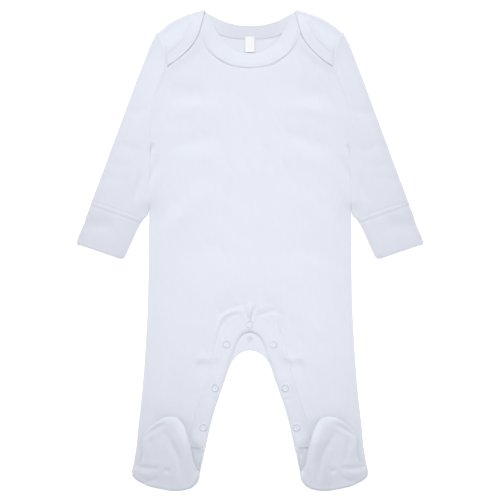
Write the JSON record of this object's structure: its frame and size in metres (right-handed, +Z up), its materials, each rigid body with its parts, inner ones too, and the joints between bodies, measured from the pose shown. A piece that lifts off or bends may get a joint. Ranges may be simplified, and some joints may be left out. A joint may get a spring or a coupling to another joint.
{
  "type": "footed baby sleepsuit",
  "caption": "White knitted baby sleepsuit laid flat, with lap shoulders, long cuffed sleeves, a snap placket round the crotch and inner legs, and enclosed feet folded up.",
  "frame": {"origin": "on the surface that the suit lies on, in the middle of its length and width", "axes": "+Z up off the surface, +Y towards the neck, +X towards the wearer's left"},
  "size_m": [0.4152, 0.5782, 0.011],
  "materials": {
    "knit": "white cotton interlock knit, soft and matte",
    "band": "white cotton knit, doubled, with rows of cover stitch",
    "snap": "white enamel, satin",
    "label": "blank white satin tape"
  },
  "bodies": {
    "root": {"front_panel": "knit", "back_panel": "knit", "sleeve_left": "knit", "sleeve_right": "knit", "sole_left": "knit", "sole_right": "knit", "foot_upper_left": "knit", "foot_upper_right": "knit", "cuff_left": "band", "cuff_right": "band", "neck_band_front": "band", "neck_band_back": "band", "placket_front": "band", "placket_back": "band", "snap_center": "snap", "snap_crotch_left": "snap", "snap_crotch_right": "snap", "snap_knee_left": "snap", "snap_knee_right": "snap", "snap_ankle_left": "snap", "snap_ankle_right": "snap", "snap_socket": "snap", "neck_label": "label"}
  },
  "joints": []
}
